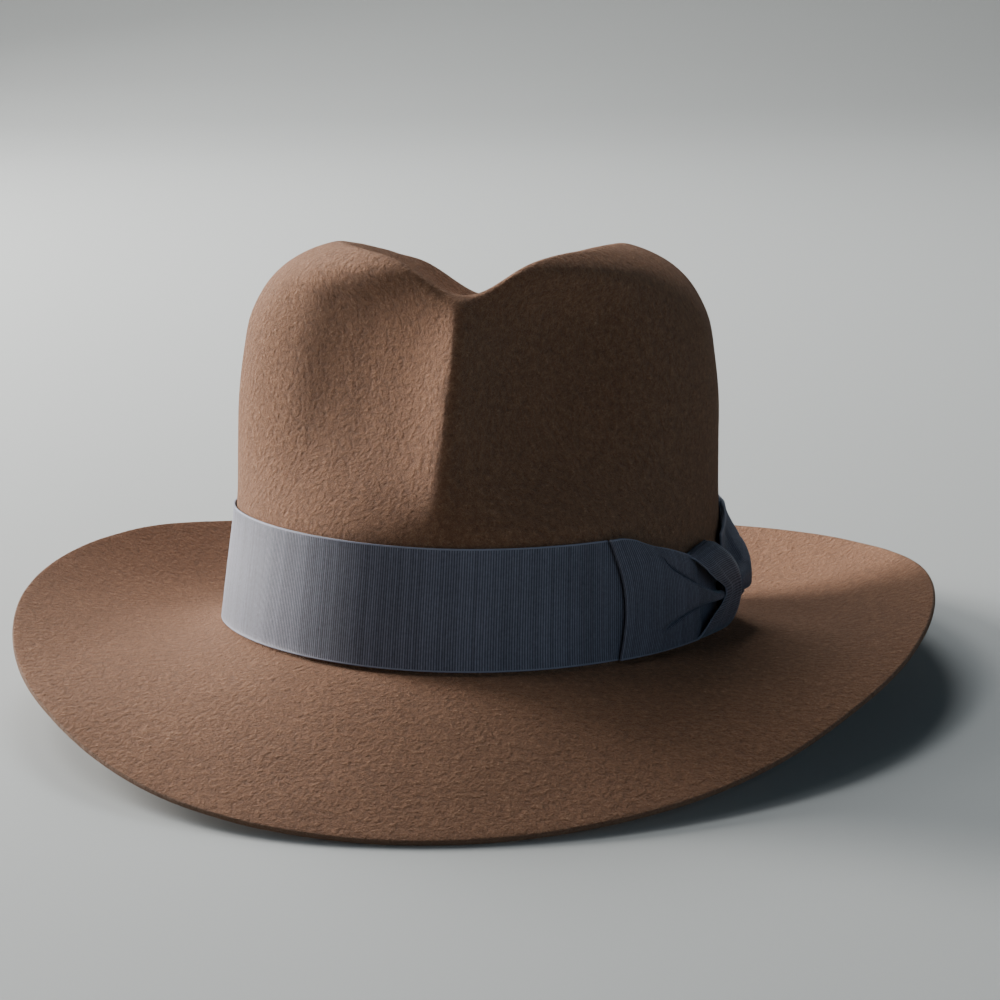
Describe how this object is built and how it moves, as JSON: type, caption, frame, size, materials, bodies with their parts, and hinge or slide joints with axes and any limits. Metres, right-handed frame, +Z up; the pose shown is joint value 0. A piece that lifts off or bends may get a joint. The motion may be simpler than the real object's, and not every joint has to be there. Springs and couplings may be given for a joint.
{
  "type": "fedora hat",
  "caption": "Felt hat with a creased crown pinched at the front, a wide brim dipped in front and raised at the sides, and a ribbon band with a flat bow at one side.",
  "frame": {"origin": "centre of the hat's bounding box in plan, on the floor it rests on", "axes": "+Z up, -Y towards the front of the hat, +X towards the side with the bow (the wearer's left)"},
  "size_m": [0.3124, 0.3474, 0.1529],
  "materials": {
    "felt": "matte brown fur felt with a fine nap, cut brim edge",
    "ribbon": "slate grey ribbed grosgrain ribbon, slight sheen"
  },
  "bodies": {
    "root": {"felt_body": "felt", "ribbon_band": "ribbon", "bow_front_wing": "ribbon", "bow_knot": "ribbon", "bow_rear_wing": "ribbon"}
  },
  "joints": []
}
